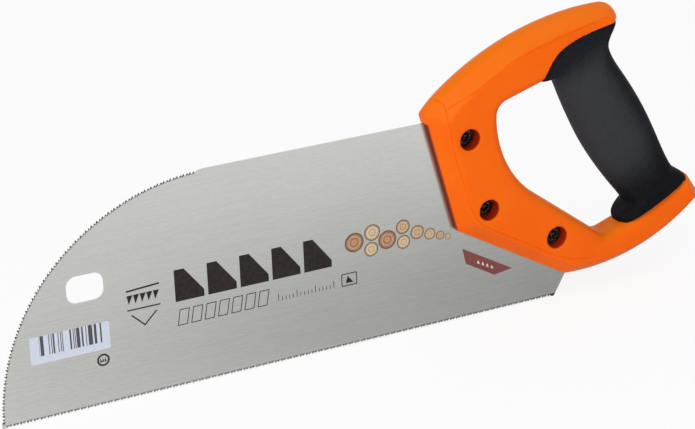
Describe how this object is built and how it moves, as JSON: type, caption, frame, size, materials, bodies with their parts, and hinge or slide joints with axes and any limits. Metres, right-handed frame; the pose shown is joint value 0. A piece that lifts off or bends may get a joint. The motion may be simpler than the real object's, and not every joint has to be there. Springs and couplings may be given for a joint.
{
  "type": "hand saw",
  "caption": "Fine-toothed spineless hand saw with a toothed quarter-circle nose, a hang slot and a closed two-material pistol handle held by recessed screws.",
  "frame": {"origin": "on the line of the tooth tips, in the middle of the blade's thickness, under the middle of the overall length", "axes": "+X runs along the straight tooth line from the nose tip towards the handle, +Z from the tooth tips to the back of the blade, +Y through the blade away from the side that the picture shows"},
  "size_m": [0.3862, 0.028, 0.1553],
  "materials": {
    "blade_steel": "ground along its length, satin",
    "orange_plastic": "moulded, satin gloss",
    "black_rubber": "matte moulded soft grip",
    "dark_screw_steel": "blackened, slight gloss"
  },
  "bodies": {
    "root": {"blade": "blade_steel", "handle_body": "orange_plastic", "soft_grip": "black_rubber", "handle_screw_1": "dark_screw_steel", "handle_screw_2": "dark_screw_steel", "handle_screw_3": "dark_screw_steel", "sleeve_nut_1": "dark_screw_steel", "sleeve_nut_2": "dark_screw_steel", "sleeve_nut_3": "dark_screw_steel"}
  },
  "joints": []
}
